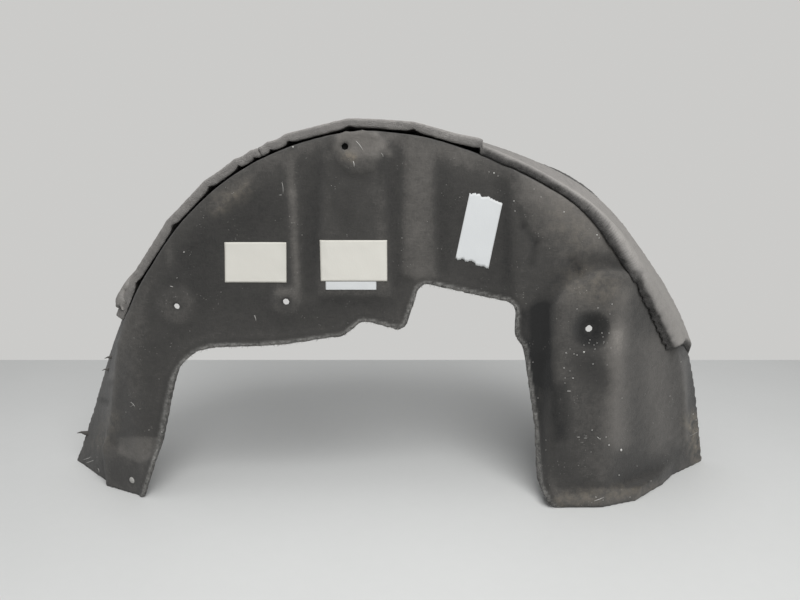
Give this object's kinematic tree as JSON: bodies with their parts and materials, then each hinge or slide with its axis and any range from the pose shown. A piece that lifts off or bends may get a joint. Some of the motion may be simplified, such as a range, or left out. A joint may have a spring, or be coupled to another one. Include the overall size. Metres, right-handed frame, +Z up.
{
  "type": "wheel arch liner",
  "caption": "Pressed felt wheel arch liner: an arched wall and barrel on two splayed legs, cut out for the suspension, with foam strips along the arch and blank labels.",
  "frame": {"origin": "middle of the liner's whole box in plan, on the ground it stands on", "axes": "+Z up, +X to the right as pictured, +Y away from the camera, from the front wall towards the barrel's free edge"},
  "size_m": [0.9242, 0.177, 0.478],
  "materials": {
    "felt": "matte",
    "foam": "matte",
    "paper": "matte",
    "cool_paper": "matte"
  },
  "bodies": {
    "root": {"liner_shell": "felt", "foam_strip_left": "foam", "foam_strip_right": "foam", "label_left": "paper", "label_centre": "paper", "label_lower": "cool_paper", "tape_label": "cool_paper"}
  },
  "joints": []
}
